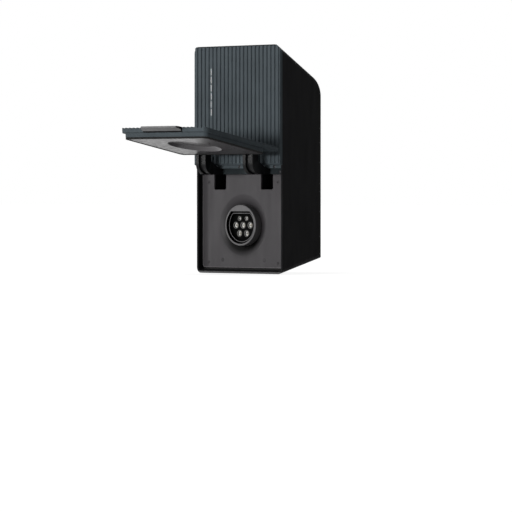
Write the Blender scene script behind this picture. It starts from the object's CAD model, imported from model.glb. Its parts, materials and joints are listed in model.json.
"""Looks of a wall-mounted vehicle charging box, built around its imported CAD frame."""

import json
import logging
import math
from collections.abc import Callable
from dataclasses import dataclass
from enum import Enum
from typing import ClassVar

import bpy
from mathutils import Matrix, Vector


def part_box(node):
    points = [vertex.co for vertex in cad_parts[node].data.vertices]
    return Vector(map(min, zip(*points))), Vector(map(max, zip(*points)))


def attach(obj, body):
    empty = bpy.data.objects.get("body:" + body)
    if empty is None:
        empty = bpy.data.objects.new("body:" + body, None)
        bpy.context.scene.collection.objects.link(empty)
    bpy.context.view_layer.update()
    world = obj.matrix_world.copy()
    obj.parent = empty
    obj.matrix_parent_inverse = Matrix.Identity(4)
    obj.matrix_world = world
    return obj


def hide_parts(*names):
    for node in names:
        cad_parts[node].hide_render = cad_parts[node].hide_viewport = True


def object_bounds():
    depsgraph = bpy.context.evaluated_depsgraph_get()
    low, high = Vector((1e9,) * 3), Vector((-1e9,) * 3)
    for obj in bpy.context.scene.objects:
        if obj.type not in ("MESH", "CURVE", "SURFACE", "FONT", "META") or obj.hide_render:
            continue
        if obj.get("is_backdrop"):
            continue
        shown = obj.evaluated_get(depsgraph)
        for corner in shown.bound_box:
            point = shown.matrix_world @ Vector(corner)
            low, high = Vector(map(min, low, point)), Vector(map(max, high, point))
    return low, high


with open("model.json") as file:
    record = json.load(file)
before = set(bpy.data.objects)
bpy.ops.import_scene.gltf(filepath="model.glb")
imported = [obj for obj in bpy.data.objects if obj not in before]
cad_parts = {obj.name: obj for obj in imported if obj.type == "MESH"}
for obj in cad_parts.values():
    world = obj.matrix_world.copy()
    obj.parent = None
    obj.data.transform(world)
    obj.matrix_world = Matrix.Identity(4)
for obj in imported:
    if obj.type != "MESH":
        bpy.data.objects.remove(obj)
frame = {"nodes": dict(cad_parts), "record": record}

log = logging.getLogger("wallbox")

Node = bpy.types.Node
Piece = bpy.types.Object
Socket = bpy.types.NodeSocket
Pair = tuple[float, float]
Triple = tuple[float, float, float]
Tone = tuple[float, float, float, float]
FaceTest = Callable[[Vector, Vector], bool]
PointTest = Callable[[Vector], bool]

MM = 0.001

# Directions of the box, and of the flap as it stands open.
RIGHT = Vector((1.0, 0.0, 0.0))
FRONT = Vector((0.0, -1.0, 0.0))
UP = Vector((0.0, 0.0, 1.0))
OPEN_TURN = math.radians(100.0)
FLAP_INSIDE = Vector((0.0, math.cos(OPEN_TURN), -math.sin(OPEN_TURN)))
FLAP_REACH = Vector((0.0, -math.sin(OPEN_TURN), -math.cos(OPEN_TURN)))

# Limits for finding, merging, flattening and breaking the edges of a mesh.
NEARLY = 0.01 * MM
MERGE_GAP = 0.002 * MM
FLAT_ANGLE = math.radians(0.2)
BREAK_ANGLE = math.radians(40.0)
BURR_ANGLE = math.radians(60.0)
FLAT_WEIGHT = 80


def linear(colour: Triple) -> Triple:
    """Turns a display colour into linear light by the sRGB curve.

    Args:
        colour: Red, green and blue from 0 to 255, as seen on a screen.

    Returns:
        Linear red, green and blue.
    """
    shares = [channel / 255 for channel in colour]
    red, green, blue = (s / 12.92 if s <= 0.04045 else ((s + 0.055) / 1.055) ** 2.4 for s in shares)
    return (red, green, blue)


def bearing(azimuth: float, elevation: float) -> Vector:
    """Gives the direction in which the object sees a lamp or camera.

    Args:
        azimuth: Degrees to the right of the front.
        elevation: Degrees above the horizon.

    Returns:
        The unit vector.
    """
    turn, rise = math.radians(azimuth), math.radians(elevation)
    level = math.cos(rise)
    return Vector((math.sin(turn) * level, -math.cos(turn) * level, math.sin(rise)))


def facing(direction: Vector, share: float = 0.9) -> FaceTest:
    """Gives a test for faces that look in a direction.

    Args:
        direction: The direction.
        share: Least part of the face's normal along it.

    Returns:
        The test of a face's middle and normal.
    """
    return lambda _, normal: normal.dot(direction) > share


def furthest(mesh: bpy.types.Mesh, towards: Vector) -> float:
    """Tells how far a mesh reaches in a direction."""
    return max(point.co.dot(towards) for point in mesh.vertices)


def socket_middle(depth: float) -> Vector:
    """Finds the socket's middle from the contacts' carrier and the earth contact's mount.

    Args:
        depth: The point's place along Y.

    Returns:
        The point.
    """
    low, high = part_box("contact_carrier")
    places = {mount["name"]: mount["pos_m"] for mount in frame["record"]["mounts"]}
    return Vector(((low.x + high.x) / 2, depth, places["earth_contact"][2]))


class NodeDesk:
    """Lays out and wires the nodes of one material."""

    COLUMN_WIDTH = 180
    ROW_HEIGHT = 160
    ROWS = 4
    NOISE_ROUGHNESS = 0.55
    MIX_COLOURS = (6, 7)
    MIX_RESULT = 2

    def __init__(self, name: str) -> None:
        """Starts an empty node material.

        Args:
            name: The material's name.
        """
        self.material = bpy.data.materials.new(name)
        self.material.use_nodes = True
        self.tree = self.material.node_tree
        self.tree.nodes.clear()
        self.column = 0

    def add(self, kind: str, inputs: dict[str, object] | None = None, **settings: object) -> Node:
        """Adds a node and sets its settings and socket values.

        Args:
            kind: The node's type name.
            inputs: Values by socket name.
            **settings: Attributes of the node.

        Returns:
            The new node.
        """
        node = self.tree.nodes.new(kind)
        self.column += 1
        row = self.column % self.ROWS
        node.location = (self.column * self.COLUMN_WIDTH, -row * self.ROW_HEIGHT)
        for setting, value in settings.items():
            setattr(node, setting, value)
        for socket, value in (inputs or {}).items():
            node.inputs[socket].default_value = value
        return node

    def link(self, source: Socket, target: Socket) -> None:
        """Wires one socket to another."""
        self.tree.links.new(source, target)

    def place(self) -> Socket:
        """Gives the place on the piece, in the object's coordinates."""
        return self.add("ShaderNodeTexCoord").outputs["Object"]

    def mapped(self, place: Socket, scale: Triple, shift: Triple = (0.0, 0.0, 0.0)) -> Socket:
        """Stretches and shifts coordinates.

        Args:
            place: The coordinates.
            scale: Factor on each of them.
            shift: What is then added to them.

        Returns:
            The new coordinates' socket.
        """
        node = self.add(
            "ShaderNodeMapping", {"Location": shift, "Scale": scale}, vector_type="POINT"
        )
        self.link(place, node.inputs["Vector"])
        return node.outputs["Vector"]

    def noise(self, place: Socket, size: float, detail: float = 3.0) -> Socket:
        """Adds a noise pattern.

        Args:
            place: The coordinates that the pattern reads.
            size: Length of one blob in metres.
            detail: Number of finer layers.

        Returns:
            The pattern's value socket, around 0.5.
        """
        node = self.add(
            "ShaderNodeTexNoise",
            {"Scale": 1 / size, "Detail": detail, "Roughness": self.NOISE_ROUGHNESS},
        )
        self.link(place, node.inputs["Vector"])
        return node.outputs["Fac"]

    def ranged(
        self, value: Socket, low: float, high: float, start: float = 0.3, end: float = 0.7
    ) -> Socket:
        """Maps a pattern onto a range of values.

        Args:
            value: The pattern.
            low: Result at start.
            high: Result at end.
            start: Pattern value that gives low.
            end: Pattern value that gives high.

        Returns:
            The mapped value socket.
        """
        node = self.add(
            "ShaderNodeMapRange",
            {"From Min": start, "From Max": end, "To Min": low, "To Max": high},
        )
        self.link(value, node.inputs["Value"])
        return node.outputs["Result"]

    def mixed(self, share: Socket, first: Socket | Tone, second: Socket | Tone) -> Socket:
        """Mixes two colours by a pattern.

        Args:
            share: Pattern from 0, all first, to 1, all second.
            first: A colour or a colour socket.
            second: A colour or a colour socket.

        Returns:
            The mixed colour socket.
        """
        node = self.add("ShaderNodeMix", data_type="RGBA")
        self.link(share, node.inputs[0])
        for index, colour in zip(self.MIX_COLOURS, (first, second)):
            if isinstance(colour, Socket):
                self.link(colour, node.inputs[index])
            else:
                node.inputs[index].default_value = colour
        return node.outputs[self.MIX_RESULT]

    def product(self, first: Socket, second: Socket) -> Socket:
        """Multiplies two patterns.

        Args:
            first: One pattern.
            second: The other.

        Returns:
            The product's socket.
        """
        node = self.add("ShaderNodeMath", operation="MULTIPLY")
        self.link(first, node.inputs[0])
        self.link(second, node.inputs[1])
        return node.outputs[0]

    def bump(self, height: Socket, depth: float, strength: float) -> Socket:
        """Turns a height pattern into a surface normal.

        Args:
            height: The pattern.
            depth: Height of the relief in metres.
            strength: Share of the relief that shows.

        Returns:
            The normal socket.
        """
        node = self.add("ShaderNodeBump", {"Distance": depth, "Strength": strength})
        self.link(height, node.inputs["Height"])
        return node.outputs["Normal"]

    def edges(self, start: float, end: float) -> Socket:
        """Finds outer edges by how far the surface points outwards.

        Args:
            start: Pointiness where the edge begins.
            end: Pointiness where the edge is full.

        Returns:
            A pattern that is 1 on sharp outer edges and 0 on flats.
        """
        geometry = self.add("ShaderNodeNewGeometry")
        return self.ranged(geometry.outputs["Pointiness"], 0.0, 1.0, start, end)

    def surface(
        self, colour: Socket, roughness: Socket, normal: Socket, inputs: dict[str, float]
    ) -> Node:
        """Adds the shader of a finish.

        Args:
            colour: Its colour.
            roughness: Its roughness.
            normal: Its relief.
            inputs: Values of other sockets by name.

        Returns:
            The shader.
        """
        shader = self.add("ShaderNodeBsdfPrincipled", inputs)
        self.link(colour, shader.inputs["Base Color"])
        self.link(roughness, shader.inputs["Roughness"])
        self.link(normal, shader.inputs["Normal"])
        return shader

    def finish(self, shader: Node) -> bpy.types.Material:
        """Wires the shader to the surface.

        Args:
            shader: The finished shader.

        Returns:
            The material.
        """
        output = self.add("ShaderNodeOutputMaterial")
        self.link(shader.outputs[0], output.inputs["Surface"])
        return self.material


@dataclass(frozen=True)
class Finish:
    """A finish that pieces of one material share.

    Attributes:
        name: The record's material slot, with a dot and a word for a shade of its own.
        colour: Display red, green and blue from 0 to 255.
    """

    name: str
    colour: Triple

    @property
    def slot(self) -> str:
        """The record's material slot, which is the name up to its first dot."""
        return self.name.split(".")[0]

    def tone(self, share: float) -> Tone:
        """Gives the colour made lighter or darker in linear light.

        Args:
            share: Factor on the linear colour, 1 leaves it as it is.

        Returns:
            The linear colour with an alpha of 1.
        """
        red, green, blue = (min(channel * share, 1.0) for channel in linear(self.colour))
        return (red, green, blue, 1.0)

    def draw(self, desk: NodeDesk) -> Node:
        """Draws the finish's nodes and returns its shader."""
        raise NotImplementedError

    def material(self) -> bpy.types.Material:
        """Gives the finish's material, drawn on its first use.

        Returns:
            The material.
        """
        title = self.name + ".finish"
        made = bpy.data.materials.get(title)
        if made is not None:
            return made
        desk = NodeDesk(title)
        return desk.finish(self.draw(desk))


@dataclass(frozen=True)
class MouldedPlastic(Finish):
    """Injection-moulded plastic with an eroded grain.

    Attributes:
        roughness: Middle roughness of the surface.
        grain: Length of one grain in metres.
        relief: Height of the grain in metres.
        mottle: Share by which the colour drifts over the piece.
        worn: Share by which handled edges turn lighter.
        worn_tone: Factor on the linear colour of a fully worn edge.
        specular: Level of the surface's gloss.
    """

    DRIFT_SIZE: ClassVar[float] = 55.0 * MM
    STREAK_SIZE: ClassVar[float] = 9.0 * MM
    FLOW: ClassVar[Triple] = (1.0, 1.0, 0.12)
    SPECKLE: ClassVar[float] = 0.25
    SPECKLE_TONE: ClassVar[float] = 1.3
    SPECKLE_RANGE: ClassVar[Pair] = (0.45, 0.75)
    HANDLED_RANGE: ClassVar[Pair] = (0.35, 0.65)
    EDGE_RANGE: ClassVar[Pair] = (0.53, 0.60)
    GLOSS_DRIFT: ClassVar[float] = 0.08
    GRAIN_SHOWN: ClassVar[float] = 0.5

    roughness: float = 0.5
    grain: float = 0.7 * MM
    relief: float = 0.02 * MM
    mottle: float = 0.10
    worn: float = 0.35
    worn_tone: float = 2.4
    specular: float = 0.5

    def draw(self, desk: NodeDesk) -> Node:
        """Draws the grain, the handling marks and the colour.

        Args:
            desk: The material's nodes.

        Returns:
            The plastic's shader.
        """
        place = desk.place()
        grain = desk.noise(place, self.grain, 2.0)
        streaks = desk.noise(desk.mapped(place, self.FLOW), self.STREAK_SIZE, 5.0)
        dull, bright = self.roughness + self.GLOSS_DRIFT, self.roughness - self.GLOSS_DRIFT
        return desk.surface(
            self.coloured(desk, place, grain, streaks),
            desk.ranged(streaks, dull, bright),
            desk.bump(grain, self.relief, self.GRAIN_SHOWN),
            {"Specular IOR Level": self.specular, "Metallic": 0.0},
        )

    def coloured(self, desk: NodeDesk, place: Socket, grain: Socket, streaks: Socket) -> Socket:
        """Draws the colour with its drift, its speckle and worn edges.

        Args:
            desk: The material's nodes.
            place: The place on the piece.
            grain: The grain's pattern.
            streaks: The handling marks' pattern.

        Returns:
            The colour socket.
        """
        drift = desk.ranged(desk.noise(place, self.DRIFT_SIZE, 4.0), 0.0, 1.0)
        body = desk.mixed(drift, self.tone(1 - self.mottle), self.tone(1 + self.mottle))
        speckle = desk.ranged(grain, 0.0, self.SPECKLE, *self.SPECKLE_RANGE)
        speckled = desk.mixed(speckle, body, self.tone(self.SPECKLE_TONE))
        handled = desk.ranged(streaks, 0.0, self.worn, *self.HANDLED_RANGE)
        wear = desk.product(desk.edges(*self.EDGE_RANGE), handled)
        return desk.mixed(wear, speckled, self.tone(self.worn_tone))


@dataclass(frozen=True)
class DishedPlastic(MouldedPlastic):
    """Moulded plastic that turns darker towards the middle of a dish.

    Attributes:
        pool: Middle of the darker zone, across and up.
        pool_inner: Radius within which it is darkest.
        pool_outer: Radius where it ends.
        pool_tone: Factor on the linear colour where it is darkest.
    """

    pool: Pair = (0.0, 0.0)
    pool_inner: float = 30.0 * MM
    pool_outer: float = 60.0 * MM
    pool_tone: float = 0.1

    def coloured(self, desk: NodeDesk, place: Socket, grain: Socket, streaks: Socket) -> Socket:
        """Draws the plastic's colour and darkens it towards the middle of the dish.

        Args:
            desk: The material's nodes.
            place: The place on the piece.
            grain: The grain's pattern.
            streaks: The handling marks' pattern.

        Returns:
            The colour socket.
        """
        plain = super().coloured(desk, place, grain, streaks)
        across, up = self.pool
        centred = desk.mapped(place, (1.0, 0.0, 1.0), (-across, 0.0, -up))
        reach = desk.add("ShaderNodeVectorMath", operation="LENGTH")
        desk.link(centred, reach.inputs[0])
        share = desk.ranged(reach.outputs["Value"], 1.0, 0.0, self.pool_inner, self.pool_outer)
        return desk.mixed(desk.product(share, share), plain, self.tone(self.pool_tone))


@dataclass(frozen=True)
class SoftRubber(Finish):
    """Extruded rubber with a matt bloom and fine pits.

    Attributes:
        bloom: Share of grey bloom over the surface.
    """

    BLOOM_SIZE: ClassVar[float] = 12.0 * MM
    PIT_SIZE: ClassVar[float] = 0.5 * MM
    PIT_DEPTH: ClassVar[float] = 0.03 * MM
    PITS_SHOWN: ClassVar[float] = 0.5
    BLOOM_RANGE: ClassVar[Pair] = (0.45, 0.7)
    CLEAN_TONE: ClassVar[float] = 0.9
    BLOOM_TONE: ClassVar[float] = 2.2
    ROUGHNESS: ClassVar[Pair] = (0.7, 0.9)

    bloom: float = 0.35

    def draw(self, desk: NodeDesk) -> Node:
        """Draws bloom, pits and a matt surface.

        Args:
            desk: The material's nodes.

        Returns:
            The rubber's shader.
        """
        place = desk.place()
        clouds = desk.noise(place, self.BLOOM_SIZE, 5.0)
        pits = desk.noise(place, self.PIT_SIZE, 2.0)
        bloom = desk.ranged(clouds, 0.0, self.bloom, *self.BLOOM_RANGE)
        return desk.surface(
            desk.mixed(bloom, self.tone(self.CLEAN_TONE), self.tone(self.BLOOM_TONE)),
            desk.ranged(pits, *self.ROUGHNESS),
            desk.bump(pits, self.PIT_DEPTH, self.PITS_SHOWN),
            {"Specular IOR Level": 0.2, "Metallic": 0.0},
        )


class Lay(Enum):
    """Direction of the tool marks on a metal."""

    TURNED = (0.05, 1.0, 0.05)
    ROLLED = (1.0, 0.05, 0.05)


@dataclass(frozen=True)
class Metal(Finish):
    """Machined or rolled metal.

    Attributes:
        roughness: Middle roughness.
        lay: Direction of the tool marks.
        tarnish: Share of dull spots.
    """

    MARK_SIZE: ClassVar[float] = 0.25 * MM
    MARK_DEPTH: ClassVar[float] = 0.01 * MM
    MARKS_SHOWN: ClassVar[float] = 0.35
    SPOT_SIZE: ClassVar[float] = 6.0 * MM
    SPOT_RANGE: ClassVar[Pair] = (0.45, 0.7)
    SPOT_TONE: ClassVar[float] = 0.55
    EDGE_RANGE: ClassVar[Pair] = (0.52, 0.58)
    EDGE_TONE: ClassVar[float] = 1.25
    SMOOTHER: ClassVar[float] = 0.08
    ROUGHER: ClassVar[float] = 0.14

    roughness: float = 0.3
    lay: Lay = Lay.ROLLED
    tarnish: float = 0.3

    def draw(self, desk: NodeDesk) -> Node:
        """Draws tool marks, dull spots and bright edges.

        Args:
            desk: The material's nodes.

        Returns:
            The metal's shader.
        """
        place = desk.place()
        marks = desk.noise(desk.mapped(place, self.lay.value), self.MARK_SIZE)
        spots = desk.noise(place, self.SPOT_SIZE, 4.0)
        tarnish = desk.ranged(spots, 0.0, self.tarnish, *self.SPOT_RANGE)
        spotted = desk.mixed(tarnish, self.tone(1.0), self.tone(self.SPOT_TONE))
        smooth, rough = self.roughness - self.SMOOTHER, self.roughness + self.ROUGHER
        return desk.surface(
            desk.mixed(desk.edges(*self.EDGE_RANGE), spotted, self.tone(self.EDGE_TONE)),
            desk.ranged(spots, smooth, rough),
            desk.bump(marks, self.MARK_DEPTH, self.MARKS_SHOWN),
            {"Metallic": 1.0},
        )


@dataclass(frozen=True)
class FrostedWindow(Finish):
    """Milky window that spreads the light of the lamps behind it."""

    CLOUD_SIZE: ClassVar[float] = 4.0 * MM
    CLOUD_DRIFT: ClassVar[float] = 0.1
    FROST_SIZE: ClassVar[float] = 0.2 * MM
    FROST_DEPTH: ClassVar[float] = 0.01 * MM
    FROST_SHOWN: ClassVar[float] = 0.4
    ROUGHNESS: ClassVar[Pair] = (0.28, 0.42)

    def draw(self, desk: NodeDesk) -> Node:
        """Draws a milky body with faint clouds and a satin face.

        Args:
            desk: The material's nodes.

        Returns:
            The window's shader.
        """
        place = desk.place()
        clouds = desk.ranged(desk.noise(place, self.CLOUD_SIZE), 0.0, 1.0)
        frost = desk.noise(place, self.FROST_SIZE, 2.0)
        return desk.surface(
            desk.mixed(clouds, self.tone(1 - self.CLOUD_DRIFT), self.tone(1 + self.CLOUD_DRIFT)),
            desk.ranged(frost, *self.ROUGHNESS),
            desk.bump(frost, self.FROST_DEPTH, self.FROST_SHOWN),
            {"Specular IOR Level": 0.5, "Subsurface Weight": 0.3, "Subsurface Scale": 1 * MM},
        )


@dataclass(frozen=True)
class CircuitLaminate(Finish):
    """Printed circuit board with copper tracks under its lacquer."""

    TRACK_PITCH: ClassVar[float] = 5.0 * MM
    TRACK_RANGE: ClassVar[Pair] = (0.03, 0.06)
    TRACK_HEIGHT: ClassVar[float] = 0.04 * MM
    TRACKS_SHOWN: ClassVar[float] = 0.6
    TRACK_TONE: ClassVar[float] = 1.7
    BOARD_TONE: ClassVar[float] = 0.85
    WEAVE_SIZE: ClassVar[float] = 0.8 * MM
    ROUGHNESS: ClassVar[Pair] = (0.22, 0.4)

    def draw(self, desk: NodeDesk) -> Node:
        """Draws tracks, pads and lacquer.

        Args:
            desk: The material's nodes.

        Returns:
            The board's shader.
        """
        place = desk.place()
        cells = desk.add(
            "ShaderNodeTexVoronoi",
            {"Scale": 1 / self.TRACK_PITCH, "Randomness": 0.6},
            distance="MANHATTAN",
            feature="DISTANCE_TO_EDGE",
        )
        desk.link(place, cells.inputs["Vector"])
        tracks = desk.ranged(cells.outputs["Distance"], 1.0, 0.0, *self.TRACK_RANGE)
        weave = desk.noise(place, self.WEAVE_SIZE, 2.0)
        return desk.surface(
            desk.mixed(tracks, self.tone(self.BOARD_TONE), self.tone(self.TRACK_TONE)),
            desk.ranged(weave, *self.ROUGHNESS),
            desk.bump(tracks, self.TRACK_HEIGHT, self.TRACKS_SHOWN),
            {"Specular IOR Level": 0.5},
        )


class Finishes(Enum):
    """The finishes of the box, each named after the record's slot that it belongs to."""

    HOUSING_BLACK = MouldedPlastic(
        "housing_black", (23, 23, 24), roughness=0.6, grain=0.8 * MM, specular=0.04, worn=0.5
    )
    RIM_GREY = MouldedPlastic("housing_black.rim", (84, 84, 85), roughness=0.6, specular=0.04)
    SLATE_SKIN = MouldedPlastic("slate_skin", (69, 76, 80), grain=0.5 * MM, specular=0.03)
    PANEL_GREY = DishedPlastic(
        "inner_grey",
        (64, 62, 64),
        roughness=0.45,
        grain=0.6 * MM,
        mottle=0.06,
        specular=0.1,
        pool=(-4.0 * MM, -108.0 * MM),
        pool_inner=40.0 * MM,
        pool_outer=63.0 * MM,
        pool_tone=0.02,
    )
    BEAD_GREY = MouldedPlastic(
        "inner_grey.bead", (88, 86, 88), roughness=0.45, grain=0.6 * MM, mottle=0.06, specular=0.1
    )
    LINER_GREY = MouldedPlastic(
        "inner_grey.liner",
        (74, 72, 74),
        roughness=0.34,
        grain=0.6 * MM,
        relief=0.0004 * MM,
        mottle=0.06,
        specular=0.45,
    )
    PULL_GREY = MouldedPlastic(
        "inner_grey.pull",
        (108, 108, 109),
        roughness=0.45,
        grain=0.6 * MM,
        mottle=0.06,
        specular=0.15,
    )
    LIGHT_WINDOW = FrostedWindow("light_window", (122, 126, 128))
    CIRCUIT_BOARD = CircuitLaminate("circuit_board", (20, 66, 40))
    COMPONENT_BLACK = MouldedPlastic("component_black", (26, 26, 27), specular=0.3)
    BEAM_NAVY = MouldedPlastic("beam_navy", (33, 38, 40), specular=0.05)
    ARM_BLACK = MouldedPlastic(
        "arm_black",
        (12, 12, 13),
        roughness=0.35,
        grain=0.9 * MM,
        relief=0.01 * MM,
        specular=0.1,
        worn=0.9,
        worn_tone=16.0,
    )
    SOCKET_BLACK = MouldedPlastic("socket_black", (3, 3, 3), specular=0.01)
    SOCKET_RING = MouldedPlastic("socket_black.ring", (98, 97, 98), roughness=0.4, specular=0.1)
    COLLAR_GREY = MouldedPlastic("socket_black.collar", (84, 83, 84), roughness=0.4, specular=0.1)
    TIP_GREY = MouldedPlastic("socket_black.tip", (96, 95, 92), roughness=0.4, specular=0.1)
    SEAL_RUBBER = SoftRubber("seal_rubber", (18, 18, 18))
    WASHER = MouldedPlastic("washer", (190, 188, 178), roughness=0.4)
    STEEL = Metal("steel", (190, 190, 192), roughness=0.32, lay=Lay.TURNED)
    CATCH_STEEL = Metal("steel.catch", (47, 46, 47), roughness=0.6, lay=Lay.TURNED, tarnish=0.6)
    PLATE_STEEL = Metal("plate_steel", (176, 178, 180), roughness=0.42)
    CONTACT_METAL = Metal(
        "contact_metal", (250, 248, 243), roughness=0.65, lay=Lay.TURNED, tarnish=0.1
    )
    TERMINAL_GREY = MouldedPlastic("terminal_grey", (120, 122, 124))
    SCREW_DARK = Metal("screw_dark", (62, 62, 64), roughness=0.4, lay=Lay.TURNED, tarnish=0.4)

    @property
    def slot(self) -> str:
        """The record's material slot."""
        return self.value.slot


class Mark(Enum):
    """What is selected on a mesh."""

    POINTS = "VERT"
    FACES = "FACE"


class Mitre(Enum):
    """How the strips of broken edges meet at an outer corner."""

    SHARP = "MITER_SHARP"
    ARC = "MITER_ARC"


class Bond(Enum):
    """What a tool does to a piece."""

    JOINED = "UNION"
    CUT = "DIFFERENCE"


class Bench:
    """Modelling steps on selected meshes, as made by hand."""

    @staticmethod
    def clear() -> None:
        """Leaves edit mode and deselects everything."""
        if bpy.context.object is not None and bpy.context.object.mode != "OBJECT":
            bpy.ops.object.mode_set(mode="OBJECT")
        bpy.ops.object.select_all(action="DESELECT")

    @staticmethod
    def take(piece: Piece) -> None:
        """Selects one piece alone and makes it active.

        Args:
            piece: The piece.
        """
        Bench.clear()
        piece.select_set(True)
        bpy.context.view_layer.objects.active = piece

    @staticmethod
    def unmarked(piece: Piece, mark: Mark) -> None:
        """Takes a piece with nothing on it selected, so that points or faces can be marked.

        Args:
            piece: The piece.
            mark: What is marked next.
        """
        Bench.take(piece)
        bpy.ops.object.mode_set(mode="EDIT")
        bpy.ops.mesh.select_mode(type=mark.value)
        bpy.ops.mesh.select_all(action="DESELECT")
        bpy.ops.object.mode_set(mode="OBJECT")

    @staticmethod
    def faces(piece: Piece, wanted: FaceTest) -> None:
        """Opens a piece in edit mode with chosen faces selected.

        Args:
            piece: The piece.
            wanted: Says of a face's middle and normal whether it is chosen.
        """
        Bench.unmarked(piece, Mark.FACES)
        for face in piece.data.polygons:
            face.select = wanted(face.center, face.normal)
        bpy.ops.object.mode_set(mode="EDIT")

    @staticmethod
    def points(piece: Piece, wanted: PointTest) -> None:
        """Opens a piece in edit mode with chosen points selected.

        Args:
            piece: The piece.
            wanted: Says of a point whether it is chosen.
        """
        Bench.unmarked(piece, Mark.POINTS)
        for point in piece.data.vertices:
            point.select = wanted(point.co)
        bpy.ops.object.mode_set(mode="EDIT")

    @staticmethod
    def cylinder(
        sides: int, radius: float, depth: float, middle: Vector, turn: Triple = (0.0, 0.0, 0.0)
    ) -> Piece:
        """Adds a cylinder with its object at the origin.

        Args:
            sides: Points round it.
            radius: Its radius.
            depth: Its length.
            middle: Its middle.
            turn: Its turn about each axis, upright if none.

        Returns:
            The cylinder.
        """
        Bench.clear()
        bpy.ops.mesh.primitive_cylinder_add(
            vertices=sides, radius=radius, depth=depth, location=middle, rotation=turn
        )
        bpy.ops.object.transform_apply(location=True, rotation=True, scale=True)
        return bpy.context.object

    @staticmethod
    def block(size: Triple, middle: Vector, turn: float = 0.0) -> Piece:
        """Adds a block with its object at the origin.

        Args:
            size: Its width, depth and height.
            middle: Its middle.
            turn: Its turn about the upright.

        Returns:
            The block.
        """
        Bench.clear()
        bpy.ops.mesh.primitive_cube_add(size=1.0, location=middle, rotation=(0.0, 0.0, turn))
        block = bpy.context.object
        block.scale = size
        bpy.ops.object.transform_apply(location=True, rotation=True, scale=True)
        return block

    @staticmethod
    def extrude(rise: float, share: float = 1.0) -> None:
        """Draws the selected faces out or in along Z.

        Args:
            rise: Distance upwards.
            share: Width of the moved faces as a share of what it was.
        """
        bpy.ops.mesh.extrude_region_move(TRANSFORM_OT_translate={"value": (0.0, 0.0, rise)})
        if share != 1.0:
            bpy.ops.transform.resize(value=(share, share, 1.0))

    @staticmethod
    def score(piece: Piece, wanted: FaceTest, along: Vector, place: float) -> None:
        """Divides chosen faces where they cross a plane.

        Args:
            piece: The piece.
            wanted: Says of a face's middle and normal whether it is chosen.
            along: The plane's normal.
            place: The plane's distance from the origin.
        """
        Bench.faces(piece, wanted)
        bpy.ops.mesh.bisect(plane_co=along * place, plane_no=along)
        bpy.ops.object.mode_set(mode="OBJECT")

    @staticmethod
    def discard(*pieces: Piece) -> None:
        """Removes helper pieces and their meshes.

        Args:
            *pieces: The helpers.
        """
        Bench.clear()
        for piece in pieces:
            mesh = piece.data
            bpy.data.objects.remove(piece)
            bpy.data.meshes.remove(mesh)

    @staticmethod
    def seats(node: str, towards: Vector) -> list[tuple[Vector, float]]:
        """Finds where the like solids of a CAD node sit.

        Args:
            node: The CAD node, one solid for each place.
            towards: The direction that the solids' heads face.

        Returns:
            For each solid the middle of its head's outer face and its length along the direction.
        """
        Bench.merged_copy(node, node + "_places")
        bpy.ops.object.mode_set(mode="EDIT")
        bpy.ops.mesh.select_all(action="SELECT")
        bpy.ops.mesh.separate(type="LOOSE")
        bpy.ops.object.mode_set(mode="OBJECT")
        helpers = list(bpy.context.selected_objects)
        found = []
        for solid in helpers:
            heights = [point.co.dot(towards) for point in solid.data.vertices]
            top = max(heights)
            ring = [p.co for p, h in zip(solid.data.vertices, heights) if h > top - NEARLY]
            low = Vector([min(p[axis] for p in ring) for axis in range(3)])
            high = Vector([max(p[axis] for p in ring) for axis in range(3)])
            found.append(((low + high) / 2, top - min(heights)))
        Bench.discard(*helpers)
        return found

    @staticmethod
    def repeated(pattern: Piece, name: str, places: list[Vector], towards: Vector) -> Piece:
        """Sets copies of a finished pattern at their places and joins them into one piece.

        Args:
            pattern: The pattern at the origin, its head facing up.
            name: The new piece's name.
            places: Where the heads' outer faces sit.
            towards: The direction that the heads face.

        Returns:
            The joined piece, at the origin.
        """
        turn = towards.to_track_quat("Z", "Y").to_matrix().to_4x4()
        copies = []
        for place in places:
            copy = bpy.data.objects.new(name, pattern.data.copy())
            copy.matrix_world = Matrix.Translation(place) @ turn
            bpy.context.scene.collection.objects.link(copy)
            copies.append(copy)
        Bench.take(copies[0])
        for copy in copies:
            copy.select_set(True)
        bpy.ops.object.transform_apply(location=True, rotation=True, scale=True)
        if len(copies) > 1:
            bpy.ops.object.join()
        piece = bpy.context.object
        piece.name = name
        piece.data.name = name
        return piece

    @staticmethod
    def merged_copy(node: str, name: str) -> Piece:
        """Copies a CAD node's mesh into a new piece and joins its loose triangles.

        Args:
            node: The CAD node.
            name: The new piece's name.

        Returns:
            The new piece, at the origin.
        """
        piece = bpy.data.objects.new(name, frame["nodes"][node].data.copy())
        piece.data.name = name
        piece.data.materials.clear()
        bpy.context.scene.collection.objects.link(piece)
        Bench.take(piece)
        bpy.ops.object.mode_set(mode="EDIT")
        bpy.ops.mesh.select_all(action="SELECT")
        bpy.ops.mesh.remove_doubles(threshold=MERGE_GAP)
        bpy.ops.mesh.customdata_custom_splitnormals_clear()
        bpy.ops.mesh.dissolve_limited(angle_limit=FLAT_ANGLE)
        bpy.ops.object.mode_set(mode="OBJECT")
        return piece

    @staticmethod
    def apply(piece: Piece, kind: str, **settings: object) -> None:
        """Adds a modifier to a piece and applies it.

        Args:
            piece: The piece.
            kind: The modifier's type.
            **settings: The modifier's settings.
        """
        Bench.take(piece)
        modifier = piece.modifiers.new(kind, kind)
        for setting, value in settings.items():
            setattr(modifier, setting, value)
        bpy.ops.object.modifier_apply(modifier=modifier.name)

    @staticmethod
    def combine(piece: Piece, bond: Bond, tool: Piece) -> None:
        """Joins a tool to a piece or cuts its shape away, and removes the tool.

        Args:
            piece: The piece.
            bond: What the tool does.
            tool: The tool.
        """
        Bench.apply(piece, "BOOLEAN", operation=bond.value, object=tool, solver="EXACT")
        Bench.discard(tool)

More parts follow.
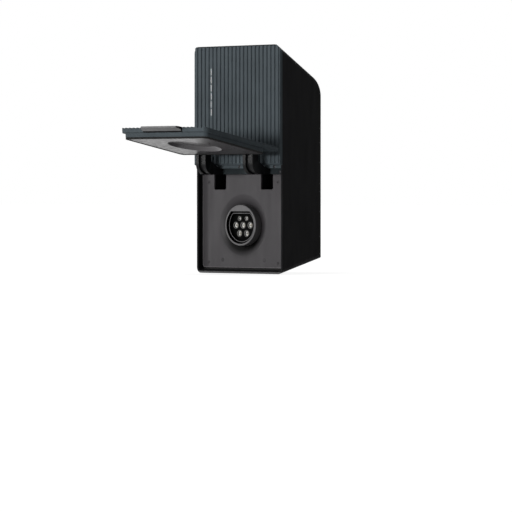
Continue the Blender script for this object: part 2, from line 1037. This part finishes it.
    @staticmethod
    def smooth(piece: Piece, angle: float = 32.0) -> None:
        """Shades a piece smooth up to an angle between its faces.

        Args:
            piece: The piece.
            angle: Largest angle that is smoothed, in degrees.
        """
        Bench.take(piece)
        bpy.ops.object.shade_smooth_by_angle(angle=math.radians(angle))

    @staticmethod
    def even(piece: Piece) -> None:
        """Shades a piece smooth and keeps its flats even."""
        Bench.smooth(piece)
        Bench.apply(piece, "WEIGHTED_NORMAL", keep_sharp=True, weight=FLAT_WEIGHT)

    @staticmethod
    def bevel(
        piece: Piece,
        width: float,
        segments: int = 2,
        angle: float = BREAK_ANGLE,
        mitre: Mitre = Mitre.SHARP,
    ) -> None:
        """Breaks the sharp edges of a piece.

        Args:
            piece: The piece.
            width: Width of the broken edge in metres.
            segments: Number of strips across the edge.
            angle: Least angle of an edge that is broken.
            mitre: How the strips meet at an outer corner.
        """
        Bench.apply(
            piece,
            "BEVEL",
            width=width,
            segments=segments,
            limit_method="ANGLE",
            angle_limit=angle,
            miter_outer=mitre.value,
        )

    @staticmethod
    def broken(node: str, width: float) -> Piece:
        """Copies a CAD node and breaks its sharp edges.

        Args:
            node: The CAD node.
            width: Width of the broken edge in metres.

        Returns:
            The new piece.
        """
        piece = Bench.merged_copy(node, node + "_moulded")
        Bench.bevel(piece, width, mitre=Mitre.ARC)
        Bench.even(piece)
        return piece


class TurnedPart:
    """A small part that is modelled once and copied to the seats of a CAD node.

    Attributes:
        suffix: End of the new piece's name.
    """

    suffix: ClassVar[str] = "_turned"

    @property
    def ahead(self) -> float:
        """How far the part's front stands ahead of the node's."""
        return 0.0

    def turned(self, length: float) -> Piece:
        """Models one part of a length, its front at the origin and facing up."""
        raise NotImplementedError

    def fitted(self, node: str, towards: Vector = FRONT) -> Piece:
        """Models the parts at the seats of a CAD node.

        Args:
            node: The node.
            towards: The direction that the parts face.

        Returns:
            The parts as one piece.
        """
        seats = Bench.seats(node, towards)
        pattern = self.turned(max(length for _, length in seats))
        places = [place + towards * self.ahead for place, _ in seats]
        piece = Bench.repeated(pattern, node + self.suffix, places, towards)
        Bench.discard(pattern)
        return piece


@dataclass
class LobeScrew(TurnedPart):
    """A pan-head screw with a six-lobe drive.

    Attributes:
        head_radius: Radius of the head.
        head_height: Height of the head.
        head_round: Rounding of the head's outer edge.
        shank_radius: Radius of the shank.
        drive_radius: Radius over the drive's lobes.
        drive_depth: Depth of the drive.
        point: Length of the shank's narrower end.
        sides: Points round the head, four for each lobe.
    """

    LOBES: ClassVar[tuple[tuple[int, float], ...]] = ((1, 0.9), (3, 0.9), (2, 0.74))
    DRIVE_TAPER: ClassVar[float] = 0.85
    POINT_TAPER: ClassVar[float] = 0.7
    SMOOTH_UP_TO: ClassVar[float] = 38.0

    head_radius: float = 2.8 * MM
    head_height: float = 1.8 * MM
    head_round: float = 0.6 * MM
    shank_radius: float = 1.5 * MM
    drive_radius: float = 1.5 * MM
    drive_depth: float = 1.1 * MM
    point: float = 0.6 * MM
    sides: int = 24

    def lobes(self, screw: Piece, step: int, share: float) -> None:
        """Pulls every fourth point of the drive's outline inwards.

        Args:
            screw: The screw, its drive still a round face at the top.
            step: Which of each four points is moved.
            share: Radius that the points get, as a share of their own.
        """

        def chosen(point: Vector) -> bool:
            """Says whether a point of the drive's outline is moved.

            Args:
                point: The point.

            Returns:
                True if it is moved.
            """
            on_outline = math.hypot(point.x, point.y) < self.drive_radius * 1.05
            turn = round(math.atan2(point.y, point.x) / math.tau * self.sides)
            return point.z > -NEARLY and on_outline and turn % 4 == step

        Bench.points(screw, chosen)
        bpy.ops.transform.resize(value=(share, share, 1.0))

    def turned(self, length: float) -> Piece:
        """Models one screw with its head's outer face at the origin, facing up.

        Args:
            length: Length from the head's face to the end of the shank.

        Returns:
            The screw.
        """

        def drive(middle: Vector, normal: Vector) -> bool:
            """Says whether a face is the one in the middle of the head."""
            return facing(UP)(middle, normal) and math.hypot(middle.x, middle.y) < 0.1 * MM

        screw = Bench.cylinder(
            self.sides, self.head_radius, self.head_height, -UP * self.head_height / 2
        )
        Bench.faces(screw, facing(UP))
        bpy.ops.mesh.bevel(offset=self.head_round, segments=3, affect="EDGES")
        Bench.faces(screw, drive)
        bpy.ops.mesh.inset(thickness=self.head_radius - self.head_round - self.drive_radius)
        bpy.ops.object.mode_set(mode="OBJECT")
        for step, share in self.LOBES:
            self.lobes(screw, step, share)
        Bench.faces(screw, drive)
        Bench.extrude(-self.drive_depth, self.DRIVE_TAPER)
        Bench.faces(screw, facing(-UP))
        bpy.ops.mesh.inset(thickness=self.head_radius - self.shank_radius)
        Bench.extrude(self.head_height + self.point - length)
        Bench.extrude(-self.point, self.POINT_TAPER)
        bpy.ops.object.mode_set(mode="OBJECT")
        Bench.smooth(screw, self.SMOOTH_UP_TO)
        return screw


@dataclass
class SpringSleeve(TurnedPart):
    """A contact sleeve, split at its mouth so that it grips the pin.

    Attributes:
        radius: Outer radius.
        bore: Radius of the bore, and of the solid tail.
        slit: Width of the slits.
        bore_depth: Depth of the bore.
        tail: Length of the tail.
        slit_depth: Depth of the slits from the mouth.
        lead: Width of the lead-in round the mouth.
        burr: Width of the broken edges.
        sides: Points round the sleeve.
    """

    suffix: ClassVar[str] = "_split"

    radius: float
    bore: float
    slit: float
    bore_depth: float = 22.0 * MM
    tail: float = 14.0 * MM
    slit_depth: float = 9.0 * MM
    lead: float = 0.5 * MM
    burr: float = 0.12 * MM
    sides: int = 40

    def slitter(self) -> Piece:
        """Models the cross-shaped cutter for the slits.

        Returns:
            The cutter.
        """
        size = (3 * self.radius, self.slit, 2 * self.slit_depth)
        cutter, across = (Bench.block(size, Vector(), turn) for turn in (0.0, math.pi / 2))
        Bench.combine(cutter, Bond.JOINED, across)
        return cutter

    def turned(self, length: float) -> Piece:
        """Models one sleeve with its mouth at the origin, facing up.

        Args:
            length: Length from the mouth to the end of the tail.

        Returns:
            The sleeve.
        """
        barrel = length - self.tail
        sleeve = Bench.cylinder(self.sides, self.radius, barrel, -UP * barrel / 2)
        Bench.faces(sleeve, facing(UP))
        bpy.ops.mesh.inset(thickness=self.radius - self.bore - self.lead)
        Bench.extrude(-self.lead, self.bore / (self.bore + self.lead))
        Bench.extrude(self.lead - self.bore_depth)
        Bench.faces(sleeve, facing(-UP))
        bpy.ops.mesh.inset(thickness=self.radius - self.bore)
        Bench.extrude(-self.tail)
        bpy.ops.object.mode_set(mode="OBJECT")
        Bench.combine(sleeve, Bond.CUT, self.slitter())
        Bench.bevel(sleeve, self.burr, 1, BURR_ANGLE)
        Bench.smooth(sleeve)
        return sleeve


@dataclass
class TipRing(TurnedPart):
    """A plastic ring in front of a contact sleeve that keeps fingers off the metal.

    Attributes:
        flange: Outer radius on the carrier's face.
        neck: Outer radius in the carrier's hole.
        mouth: Radius of the opening.
        setback: Depth of the sleeve behind the carrier's face.
        height: Height over the carrier's face.
        lead: Width of the lead-in round the mouth.
        burr: Width of the broken edges.
        sides: Points round the ring.
    """

    suffix: ClassVar[str] = "_tips"

    flange: float
    neck: float
    mouth: float
    setback: float = 1.9 * MM
    height: float = 0.9 * MM
    lead: float = 0.3 * MM
    burr: float = 0.15 * MM
    sides: int = 48

    @property
    def ahead(self) -> float:
        """How far the ring's front stands ahead of the sleeve's mouth."""
        return self.setback + self.height

    def turned(self, length: float) -> Piece:
        """Models one ring with its front at the origin, facing up.

        Args:
            length: Length of the sleeve behind it, on which the ring doesn't depend.

        Returns:
            The ring.
        """
        end = self.height + self.setback
        ring = Bench.cylinder(self.sides, self.flange, self.height, -UP * self.height / 2)
        Bench.faces(ring, facing(UP))
        bpy.ops.mesh.inset(thickness=self.flange - self.mouth - self.lead)
        Bench.extrude(-self.lead, self.mouth / (self.mouth + self.lead))
        Bench.extrude(self.lead - end)
        bpy.ops.mesh.delete(type="FACE")
        Bench.faces(ring, facing(-UP))
        bpy.ops.mesh.inset(thickness=self.flange - self.neck)
        Bench.extrude(self.height - end)
        bpy.ops.mesh.delete(type="FACE")
        Bench.points(ring, lambda point: point.z < NEARLY - end)
        bpy.ops.mesh.bridge_edge_loops()
        bpy.ops.mesh.select_all(action="SELECT")
        bpy.ops.mesh.normals_make_consistent(inside=False)
        bpy.ops.object.mode_set(mode="OBJECT")
        Bench.bevel(ring, self.burr, angle=BURR_ANGLE)
        Bench.smooth(ring)
        return ring


class SubAssembly:
    """A group of pieces that are made and dressed together."""

    def dress(self, finish: Finishes, *nodes: str) -> None:
        """Gives CAD nodes a finish.

        Args:
            finish: The finish.
            *nodes: Names of the CAD nodes.
        """
        for node in nodes:
            mesh = frame["nodes"][node].data
            mesh.materials.clear()
            mesh.materials.append(finish.value.material())
            log.info("dressed %s in %s", node, finish.slot)

    def place(self, piece: Piece, finish: Finishes, body: str, *nodes: str) -> None:
        """Finishes a new piece, puts it on its body and lets it stand for its nodes.

        Args:
            piece: The new piece.
            finish: Its finish.
            body: The body that it rides on.
            *nodes: CAD nodes that it stands for.
        """
        piece.data.materials.clear()
        piece.data.materials.append(finish.value.material())
        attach(piece, body)
        finish.slot
        if nodes:
            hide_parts(*nodes)
        log.info("made %s, %d faces, on %s", piece.name, len(piece.data.polygons), body)

    def trim(self, piece: Piece, finish: Finishes, wanted: FaceTest) -> None:
        """Gives chosen faces of a placed piece a second finish.

        Args:
            piece: The piece.
            finish: The second finish.
            wanted: Says of a face's middle and normal whether it is chosen.
        """
        piece.data.materials.append(finish.value.material())
        for face in piece.data.polygons:
            face.material_index = int(wanted(face.center, face.normal))

    def soften(self, finish: Finishes, body: str, width: float, *nodes: str) -> None:
        """Replaces CAD nodes by copies with broken edges.

        Args:
            finish: Their finish.
            body: The body that they ride on.
            width: Width of the broken edges in metres.
            *nodes: The CAD nodes.
        """
        for node in nodes:
            self.place(Bench.broken(node, width), finish, body, node)

    def screw(self, finish: Finishes, body: str, towards: Vector, node: str) -> None:
        """Replaces a CAD node's screws by ones with a modelled drive.

        Args:
            finish: Their finish.
            body: The body that they ride on.
            towards: The direction that their heads face.
            node: The CAD node.
        """
        self.place(LobeScrew().fitted(node, towards), finish, body, node)

    def build(self) -> None:
        """Makes and dresses the sub-assembly."""
        raise NotImplementedError


@dataclass
class Casing(SubAssembly):
    """The housing on the wall with its cable entry.

    Attributes:
        rim_break: Width of the housing's broken edges.
        rim_depth: Depth of the rim behind the housing's front.
        foot_rim: Height of the lighter rim at the foot of the recess.
        grommet_break: Width of the grommet's broken edges.
    """

    CUT_LEAN: ClassVar[float] = 0.5
    RIM_LEAN: ClassVar[float] = 0.4

    rim_break: float = 0.5 * MM
    rim_depth: float = 2.0 * MM
    foot_rim: float = 3.6 * MM
    grommet_break: float = 0.6 * MM

    def shell(self) -> None:
        """Models the housing, whose front rim is lighter at the foot."""
        shell = Bench.broken("housing", self.rim_break)
        low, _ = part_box("housing")
        top = low.z + self.foot_rim
        back = low.y + self.rim_depth
        Bench.score(
            shell,
            lambda middle, normal: normal.y < -self.CUT_LEAN and middle.y < back,
            UP,
            top,
        )
        self.place(shell, Finishes.HOUSING_BLACK, "box", "housing")
        self.trim(
            shell,
            Finishes.RIM_GREY,
            lambda middle, normal: normal.y < -self.RIM_LEAN and middle.z < top and middle.y < back,
        )

    def build(self) -> None:
        """Models the housing and dresses its entry."""
        self.shell()
        self.soften(Finishes.SEAL_RUBBER, "box", self.grommet_break, "cable_grommet")


@dataclass
class FrontSkin(SubAssembly):
    """The ribbed upper cover with its row of light windows.

    Attributes:
        edge_break: Width of the cover's broken edges.
        window_break: Width of the windows' broken edges.
        cap_inset: Distance of the cap's ends from the cover's sides.
        cap_height: Height of the cap that closes the grooves at the top.
        cap_depth: Its depth from the front of the ribs.
        cap_fall: Fall of its top towards the wall.
    """

    edge_break: float = 0.35 * MM
    window_break: float = 0.25 * MM
    cap_inset: float = 9.5 * MM
    cap_height: float = 1.8 * MM
    cap_depth: float = 2.6 * MM
    cap_fall: float = 1.5 * MM

    def cap(self) -> Piece:
        """Models the cap that closes the grooves at the top of the cover.

        Returns:
            The cap.
        """
        low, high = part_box("front_cover")
        middle = Vector(
            ((low.x + high.x) / 2, low.y + self.cap_depth / 2, high.z - self.cap_height / 2)
        )
        width = high.x - low.x - 2 * self.cap_inset
        cap = Bench.block((width, self.cap_depth, self.cap_height), middle)
        cap.name = "front_cover_cap"
        Bench.points(cap, lambda point: point.z > middle.z and point.y > middle.y)
        bpy.ops.transform.translate(value=-UP * self.cap_fall)
        bpy.ops.object.mode_set(mode="OBJECT")
        Bench.bevel(cap, self.edge_break, segments=3)
        Bench.smooth(cap)
        return cap

    def build(self) -> None:
        """Breaks the cover's edges and dresses the lights behind it."""
        self.soften(Finishes.SLATE_SKIN, "box", self.edge_break, "front_cover")
        self.place(self.cap(), Finishes.BEAM_NAVY, "box")
        self.soften(Finishes.LIGHT_WINDOW, "box", self.window_break, "light_guide")
        self.dress(Finishes.CIRCUIT_BOARD, "indicator_board")
        self.screw(Finishes.SCREW_DARK, "box", FRONT, "cover_screws")


@dataclass
class Flap(SubAssembly):
    """The ribbed flap with its liner, seal, magnets and finger pull.

    Attributes:
        edge_break: Width of the skin's broken edges.
        liner_break: Width of the liner's broken edges.
        seal_break: Width of the seal's broken edges.
        end_band: Depth of the liner's outer walls at its two ends.
        side_band: Depth of its outer walls at the sides.
        pull_tip: Length of the finger pull's tip.
        pull_cut: Length by which the tip is set back.
        pull_gap: Width of the black strip between liner and pull.
        pull_lip: Height of the pull's black lip.
    """

    WALL_LEAN: ClassVar[float] = 0.4
    FLAT_LEAN: ClassVar[float] = 0.75

    edge_break: float = 0.35 * MM
    liner_break: float = 0.5 * MM
    seal_break: float = 0.4 * MM
    end_band: float = 8.0 * MM
    side_band: float = 4.0 * MM
    pull_tip: float = 9.0 * MM
    pull_cut: float = 14.0 * MM
    pull_gap: float = 3.4 * MM
    pull_lip: float = 1.6 * MM

    def liner(self) -> None:
        """Models the liner, whose outer walls have the skin's finish."""
        liner = Bench.broken("flap_liner", self.liner_break)
        far = furthest(liner.data, FLAP_REACH) - self.end_band
        near = furthest(liner.data, -FLAP_REACH) - self.end_band
        side = furthest(liner.data, RIGHT) - self.side_band

        def outer(middle: Vector, normal: Vector) -> bool:
            """Says whether a face belongs to the outer walls.

            Args:
                middle: The face's middle.
                normal: Its normal.

            Returns:
                True if it does.
            """
            along, lean = middle.dot(FLAP_REACH), normal.dot(FLAP_REACH)
            far_end = lean > self.WALL_LEAN and along > far
            near_end = lean < -self.WALL_LEAN and -along > near
            outwards = middle.x * normal.x > self.WALL_LEAN * abs(middle.x)
            sides = abs(middle.x) > side and outwards
            upright = abs(normal.dot(FLAP_INSIDE)) < self.FLAT_LEAN
            return upright and (far_end or near_end or sides)

        self.place(liner, Finishes.LINER_GREY, "flap", "flap_liner")
        self.trim(liner, Finishes.SLATE_SKIN, outer)

    def pull(self) -> None:
        """Models the finger pull with a shorter tip, a black root and a black lip."""
        root = furthest(frame["nodes"]["flap_liner"].data, FLAP_REACH) + self.pull_gap
        lip = furthest(frame["nodes"]["finger_pull"].data, FLAP_INSIDE) - self.pull_lip
        pull = Bench.merged_copy("finger_pull", "finger_pull_moulded")
        tip = furthest(pull.data, FLAP_REACH) - self.pull_tip
        Bench.points(pull, lambda point: point.dot(FLAP_REACH) > tip)
        bpy.ops.transform.translate(value=-FLAP_REACH * self.pull_cut)
        bpy.ops.object.mode_set(mode="OBJECT")
        Bench.bevel(pull, self.edge_break)
        for along, place in ((FLAP_REACH, root), (FLAP_INSIDE, lip)):
            Bench.score(pull, lambda _middle, _normal: True, along, place)
        Bench.smooth(pull)
        self.place(pull, Finishes.PULL_GREY, "flap", "finger_pull")
        self.trim(
            pull,
            Finishes.HOUSING_BLACK,
            lambda middle, normal: abs(normal.x) > self.WALL_LEAN
            or middle.dot(FLAP_REACH) < root
            or middle.dot(FLAP_INSIDE) > lip,
        )

    def build(self) -> None:
        """Breaks the flap's edges and dresses its pieces."""
        self.soften(Finishes.SLATE_SKIN, "flap", self.edge_break, "flap_cover")
        self.liner()
        self.pull()
        self.soften(Finishes.SEAL_RUBBER, "flap", self.seal_break, "flap_seal")
        self.dress(Finishes.STEEL, "flap_magnets")
        self.screw(Finishes.SCREW_DARK, "flap", FLAP_INSIDE, "liner_screws")


@dataclass
class Hinge(SubAssembly):
    """Beam, gooseneck arms, pins and washers that carry the flap.

    Attributes:
        arm_break: Width of the arms' broken edges.
        beam_break: Width of the beam's broken edges.
    """

    arm_break: float = 0.7 * MM
    beam_break: float = 0.4 * MM

    def build(self) -> None:
        """Rounds the arms and dresses the hinge."""
        arms = ("hinge_arm_left", "hinge_arm_right")
        self.soften(Finishes.ARM_BLACK, "flap", self.arm_break, *arms)
        self.soften(Finishes.BEAM_NAVY, "box", self.beam_break, "hinge_beam")
        self.dress(Finishes.STEEL, "hinge_pins")
        self.dress(Finishes.WASHER, "friction_washers")
        self.screw(Finishes.SCREW_DARK, "flap", FLAP_INSIDE, "arm_screws")
        self.screw(Finishes.SCREW_DARK, "box", FRONT, "beam_screws")


@dataclass
class SocketBay(SubAssembly):
    """The panel round the socket with its screws, catches and arm wells.

    Attributes:
        dish_radius: Radius where the soft dish round the socket starts.
        dish_floor: Radius where it ends, at the socket's ring.
        dish_depth: Its depth at the ring.
        dish_curve: Power of its fall, above 1 for a soft rim.
        dish_steps: Number of rings in the dish.
        dish_sides: Points round the dish.
        bead_width: Width of the raised bead along the panel's sides and foot.
        bead_height: Height of the bead over the panel.
        bead_root: Depth of the bead in the panel.
        bead_corner: Rounding of its lower corners.
        bead_break: Width of its broken edges.
    """

    dish_radius: float = 58.0 * MM
    dish_floor: float = 37.0 * MM
    dish_depth: float = 8.0 * MM
    dish_curve: float = 1.35
    dish_steps: int = 16
    dish_sides: int = 128
    bead_width: float = 1.5 * MM
    bead_height: float = 0.9 * MM
    bead_root: float = 1.0 * MM
    bead_corner: float = 5.0 * MM
    bead_break: float = 0.3 * MM

    def dish_tool(self, middle: Vector) -> Piece:
        """Models the tool that cuts the soft dish.

        Args:
            middle: The dish's middle on the panel's front.

        Returns:
            The tool.
        """
        lift = 2 * MM
        tool = Bench.cylinder(
            self.dish_sides,
            self.dish_radius,
            lift,
            middle + FRONT * lift / 2,
            (math.pi / 2, 0.0, 0.0),
        )
        Bench.faces(tool, facing(-FRONT))
        ring_width = (self.dish_radius - self.dish_floor) / self.dish_steps
        fallen = 0.0
        for step in range(1, self.dish_steps + 1):
            fall = self.dish_depth * (step / self.dish_steps) ** self.dish_curve
            bpy.ops.mesh.inset(thickness=ring_width)
            bpy.ops.transform.translate(value=(0.0, fall - fallen, 0.0))
            fallen = fall
        bpy.ops.object.mode_set(mode="OBJECT")
        return tool

    def panel(self) -> Piece:
        """Models the panel and sinks it softly towards the socket's ring.

        Returns:
            The panel.
        """
        panel = Bench.merged_copy("socket_panel", "socket_panel_moulded")
        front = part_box("socket_panel")[0].y
        Bench.combine(panel, Bond.CUT, self.dish_tool(socket_middle(front)))
        Bench.even(panel)
        return panel

    def bead(self) -> Piece:
        """Models the raised bead along the panel's sides and foot.

        Returns:
            The bead.
        """
        low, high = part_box("socket_panel")
        middle = Vector(((low.x + high.x) / 2, low.y + self.bead_root, (low.z + high.z) / 2))
        Bench.clear()
        bpy.ops.mesh.primitive_plane_add(
            size=1.0, location=middle, rotation=(math.pi / 2, 0.0, 0.0)
        )
        bead = bpy.context.object
        bead.name = "panel_bead"
        bead.scale = (high.x - low.x, high.z - low.z, 1.0)
        bpy.ops.object.transform_apply(location=True, rotation=True, scale=True)
        Bench.points(bead, lambda point: point.z < middle.z)
        bpy.ops.mesh.bevel(offset=self.bead_corner, segments=5, affect="VERTICES")
        Bench.faces(bead, lambda _middle, _normal: True)
        bpy.ops.mesh.inset(thickness=self.bead_width)
        bpy.ops.mesh.delete(type="FACE")
        Bench.faces(bead, lambda place, _: place.z > high.z - self.bead_width)
        bpy.ops.mesh.delete(type="FACE")
        bpy.ops.object.mode_set(mode="OBJECT")
        Bench.apply(bead, "SOLIDIFY", thickness=self.bead_height + self.bead_root, offset=1.0)
        Bench.bevel(bead, self.bead_break)
        Bench.smooth(bead)
        return bead

    def build(self) -> None:
        """Models the panel and dresses its small parts."""
        self.place(self.panel(), Finishes.PANEL_GREY, "box", "socket_panel")
        self.place(self.bead(), Finishes.BEAD_GREY, "box")
        self.dress(Finishes.HOUSING_BLACK, "arm_wells")
        self.screw(Finishes.PANEL_GREY, "box", FRONT, "panel_screws")
        self.dress(Finishes.CATCH_STEEL, "catch_plates")
        self.dress(Finishes.SEAL_RUBBER, "panel_seal")


@dataclass
class VehicleSocket(SubAssembly):
    """The socket with its contacts and lock.

    Attributes:
        edge_break: Width of the broken edges.
        bore_radius: Radius of the bore in the socket's ring.
        ring_zone: Depth of the ring's front, and least thickness of its wall.
        collar_zone: Depth of the collar's lighter front edge.
    """

    RING_LEAN: ClassVar[float] = 0.3
    TIP_LEAN: ClassVar[float] = 0.6

    edge_break: float = 0.35 * MM
    bore_radius: float = 34.5 * MM
    ring_zone: float = 2.0 * MM
    collar_zone: float = 0.3 * MM

    def ring(self) -> None:
        """Models the socket's body, whose ring is lighter than its bore."""
        body = Bench.broken("socket_body", self.edge_break)
        front_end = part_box("socket_body")[0].y + self.ring_zone
        centre = socket_middle(0.0)

        def lighter(middle: Vector, normal: Vector) -> bool:
            """Says whether a face belongs to the ring's front or its outer wall.

            Args:
                middle: The face's middle.
                normal: Its normal.

            Returns:
                True if it does.
            """
            out = Vector((middle.x - centre.x, 0.0, middle.z - centre.z))
            front = normal.y < -self.RING_LEAN and middle.y < front_end
            wall = out.length > self.bore_radius + self.ring_zone and normal.dot(out) > 0
            return front or wall

        self.place(body, Finishes.SOCKET_BLACK, "box", "socket_body")
        self.trim(body, Finishes.SOCKET_RING, lighter)

    def carrier(self) -> None:
        """Models the contacts' carrier, whose collar shows a lighter front edge."""
        carrier = Bench.broken("contact_carrier", self.edge_break)
        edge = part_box("contact_carrier")[0].y + self.collar_zone
        self.place(carrier, Finishes.SOCKET_BLACK, "box", "contact_carrier")
        self.trim(carrier, Finishes.COLLAR_GREY, lambda middle, _: middle.y < edge)

    def contacts(self) -> None:
        """Models the sleeves of the contacts and the rings in front of them."""
        sleeves = {
            "power_contacts": SpringSleeve(radius=5.0 * MM, bore=3.05 * MM, slit=0.35 * MM),
            "signal_contacts": SpringSleeve(radius=3.2 * MM, bore=1.55 * MM, slit=0.3 * MM),
        }
        tips = {
            "power_contacts": TipRing(flange=6.3 * MM, neck=4.9 * MM, mouth=4.4 * MM),
            "signal_contacts": TipRing(flange=4.5 * MM, neck=3.1 * MM, mouth=2.7 * MM),
        }
        for node, sleeve in sleeves.items():
            self.place(sleeve.fitted(node), Finishes.CONTACT_METAL, "box", node)
        for node, tip in tips.items():
            rings = tip.fitted(node)
            self.place(rings, Finishes.TIP_GREY, "box")
            self.trim(rings, Finishes.SOCKET_BLACK, lambda _, normal: normal.y > -self.TIP_LEAN)

    def build(self) -> None:
        """Breaks the socket's edges, models the contacts and dresses the lock."""
        self.ring()
        self.carrier()
        self.contacts()
        self.dress(Finishes.SEAL_RUBBER, "socket_gasket")
        self.dress(Finishes.STEEL, "socket_screws", "lock_bolt")
        self.dress(Finishes.COMPONENT_BLACK, "lock_actuator")


class InnerGear(SubAssembly):
    """The electrical gear behind the panel."""

    def build(self) -> None:
        """Dresses the gear inside the closed housing."""
        self.dress(Finishes.PLATE_STEEL, "equipment_plate")
        self.dress(Finishes.STEEL, "plate_screws", "board_standoffs")
        self.dress(Finishes.COMPONENT_BLACK, "contactor", "current_sensor", "board_components")
        self.dress(Finishes.TERMINAL_GREY, "terminal_block")
        self.dress(Finishes.CIRCUIT_BOARD, "control_board")


@dataclass(frozen=True)
class Lamp:
    """A wide, soft lamp far away.

    Attributes:
        name: The lamp's name.
        azimuth: Degrees to the right of the front.
        elevation: Degrees above the horizon.
        strength: Light on a face that looks at the lamp.
        spread: Width of the lamp as seen from the object, in degrees.
    """

    DISTANCE: ClassVar[float] = 3.0

    name: str
    azimuth: float
    elevation: float
    strength: float
    spread: float

    def hang(self) -> None:
        """Adds the lamp to the scene."""
        data = bpy.data.lights.new(self.name, "SUN")
        data.energy = self.strength
        data.angle = math.radians(self.spread)
        lamp = bpy.data.objects.new(self.name, data)
        lit_from = bearing(self.azimuth, self.elevation)
        lamp.rotation_euler = (-lit_from).to_track_quat("-Z", "Y").to_euler()
        lamp.location = lit_from * self.DISTANCE
        bpy.context.scene.collection.objects.link(lamp)


@dataclass
class Studio:
    """Floor, lights, surroundings and camera.

    Attributes:
        azimuth: The camera's degrees to the right of the front.
        elevation: Its degrees above the horizon.
        distance: Its distance from the subject.
        lens: Its focal length in millimetres.
        subject: The point that it is set out from.
        aim: The point that it looks at.
        ambient: Strength of the light from all sides.
        floor_gap: Distance of the floor below the object.
        floor_size: Length of the floor's sides.
        floor_glow: Strength of the floor's own light where it is seen.
    """

    LAMPS: ClassVar[tuple[Lamp, ...]] = (
        Lamp("key", azimuth=-50.0, elevation=3.0, strength=0.9, spread=10.0),
        Lamp("fill", azimuth=-6.0, elevation=3.0, strength=2.0, spread=8.0),
        Lamp("top", azimuth=-10.0, elevation=70.0, strength=0.9, spread=25.0),
    )
    PAPER: ClassVar[tuple[Tone, Tone]] = ((0.82, 0.82, 0.82, 1.0), (0.86, 0.86, 0.86, 1.0))
    PAPER_CLOUDS: ClassVar[float] = 0.4
    SHADE: ClassVar[Tone] = (0.35, 0.35, 0.35, 1.0)
    WHITE: ClassVar[Tone] = (1.0, 1.0, 1.0, 1.0)
    SENSOR: ClassVar[float] = 36.0
    CLIP_END: ClassVar[float] = 200.0

    azimuth: float = 41.45
    elevation: float = -0.54
    distance: float = 6.7125
    lens: float = 253.6
    subject: Triple = (0.0, -0.080, 0.020)
    aim: Triple = (0.0060, -0.0747, -0.1585)
    ambient: float = 0.11
    floor_gap: float = 1.0 * MM
    floor_size: float = 60.0
    floor_glow: float = 0.9

    def seen_rays(self, tree: bpy.types.NodeTree) -> Socket:
        """Gives 1 for rays that show the surroundings and 0 for rays that light the object.

        Args:
            tree: The node tree to draw in.

        Returns:
            The value socket.
        """
        path = tree.nodes.new("ShaderNodeLightPath")
        seen = path.outputs["Is Camera Ray"]
        for kind in ("Is Glossy Ray", "Is Transmission Ray"):
            either = tree.nodes.new("ShaderNodeMath")
            either.operation = "MAXIMUM"
            tree.links.new(seen, either.inputs[0])
            tree.links.new(path.outputs[kind], either.inputs[1])
            seen = either.outputs[0]
        return seen

    def surroundings(self) -> None:
        """Makes a white world that is shown at full strength and lights softly."""
        world = bpy.data.worlds.new("studio")
        world.use_nodes = True
        bpy.context.scene.world = world
        tree = world.node_tree
        back = tree.nodes["Background"]
        back.inputs["Color"].default_value = self.WHITE
        level = tree.nodes.new("ShaderNodeMapRange")
        level.inputs["To Min"].default_value = self.ambient
        level.inputs["To Max"].default_value = 1.0
        tree.links.new(self.seen_rays(tree), level.inputs["Value"])
        tree.links.new(level.outputs["Result"], back.inputs["Strength"])

    def floor(self) -> None:
        """Lays a pale floor just under the object that keeps its shadow."""
        low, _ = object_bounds()
        Bench.clear()
        bpy.ops.mesh.primitive_plane_add(
            size=self.floor_size, location=(0, 0, low.z - self.floor_gap)
        )
        floor = bpy.context.object
        floor.name = "studio_floor"
        desk = NodeDesk("floor_paper")
        clouds = desk.ranged(desk.noise(desk.place(), self.PAPER_CLOUDS), 0.0, 1.0)
        paper = desk.add("ShaderNodeBsdfDiffuse")
        desk.link(desk.mixed(clouds, *self.PAPER), paper.inputs["Color"])
        shade = desk.add("ShaderNodeBsdfDiffuse", {"Color": self.SHADE})
        glow = desk.add(
            "ShaderNodeEmission", {"Color": self.WHITE, "Strength": self.floor_glow}
        )
        shown = desk.add("ShaderNodeAddShader")
        desk.link(shade.outputs[0], shown.inputs[0])
        desk.link(glow.outputs[0], shown.inputs[1])
        chosen = desk.add("ShaderNodeMixShader")
        desk.link(self.seen_rays(desk.tree), chosen.inputs[0])
        desk.link(paper.outputs[0], chosen.inputs[1])
        desk.link(shown.outputs[0], chosen.inputs[2])
        floor.data.materials.append(desk.finish(chosen))
        floor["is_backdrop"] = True

    def camera(self) -> None:
        """Sets the camera at the photograph's angle."""
        data = bpy.data.cameras.new("camera")
        data.lens = self.lens
        data.sensor_width = self.SENSOR
        data.clip_end = self.CLIP_END
        camera = bpy.data.objects.new("camera", data)
        back = bearing(self.azimuth, self.elevation)
        camera.location = Vector(self.subject) + back * self.distance
        sight = Vector(self.aim) - camera.location
        camera.rotation_euler = sight.to_track_quat("-Z", "Y").to_euler()
        bpy.context.scene.collection.objects.link(camera)
        bpy.context.scene.camera = camera

    def build(self) -> None:
        """Sets up the studio round the finished object."""
        self.floor()
        self.surroundings()
        for lamp in self.LAMPS:
            lamp.hang()
        self.camera()
        bpy.context.scene.view_settings.view_transform = "Standard"


def main() -> None:
    """Builds every sub-assembly, then the studio, and notes the sizes."""
    logging.basicConfig(level=logging.INFO, format="%(name)s: %(message)s")
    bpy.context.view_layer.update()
    groups = (
        Casing(),
        FrontSkin(),
        Flap(),
        Hinge(),
        SocketBay(),
        VehicleSocket(),
        InnerGear(),
    )
    for group in groups:
        group.build()
    Studio().build()


if __name__ == "__main__":
    main()
